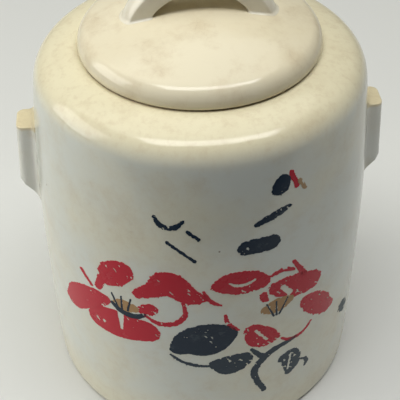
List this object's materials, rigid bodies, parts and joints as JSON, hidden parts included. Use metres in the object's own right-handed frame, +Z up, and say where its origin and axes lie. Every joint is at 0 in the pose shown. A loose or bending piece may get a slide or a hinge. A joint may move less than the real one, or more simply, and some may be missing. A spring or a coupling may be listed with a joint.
{
  "type": "lidded crock",
  "caption": "Cream-glazed stoneware butter crock with side lugs, a flower spray on its front, and a loose domed lid with an arch handle.",
  "frame": {"origin": "on the crock's axis, at the underside of the foot ring", "axes": "+Z up along the axis, +X through the right lug, -Y towards the painted front"},
  "size_m": [0.1976, 0.1802, 0.2469],
  "materials": {
    "cream_glaze": "gloss glaze over stoneware, faintly stained, bare clay on the foot ring",
    "lug_glaze": "gloss glaze",
    "lid_glaze": "gloss glaze, yellowed and crazed with age, bare clay on its seat",
    "handle_glaze": "gloss glaze, thin along the ridges",
    "red_paint": "crimson enamel paint, flaked",
    "ochre_paint": "ochre enamel paint, worn",
    "navy_paint": "blue-black enamel paint, flaked"
  },
  "bodies": {
    "crock": {"crock_body": "cream_glaze", "left_lug": "lug_glaze", "right_lug": "lug_glaze", "red_paint": "red_paint", "ochre_paint": "ochre_paint", "navy_paint": "navy_paint"},
    "lid": {"lid": "lid_glaze", "lid_handle": "handle_glaze"}
  },
  "joints": [
    {"name": "lid_lift", "type": "slide", "parent": "crock", "child": "lid", "axis": [0, 0, 1], "range_m": [0, 0.12]}
  ]
}
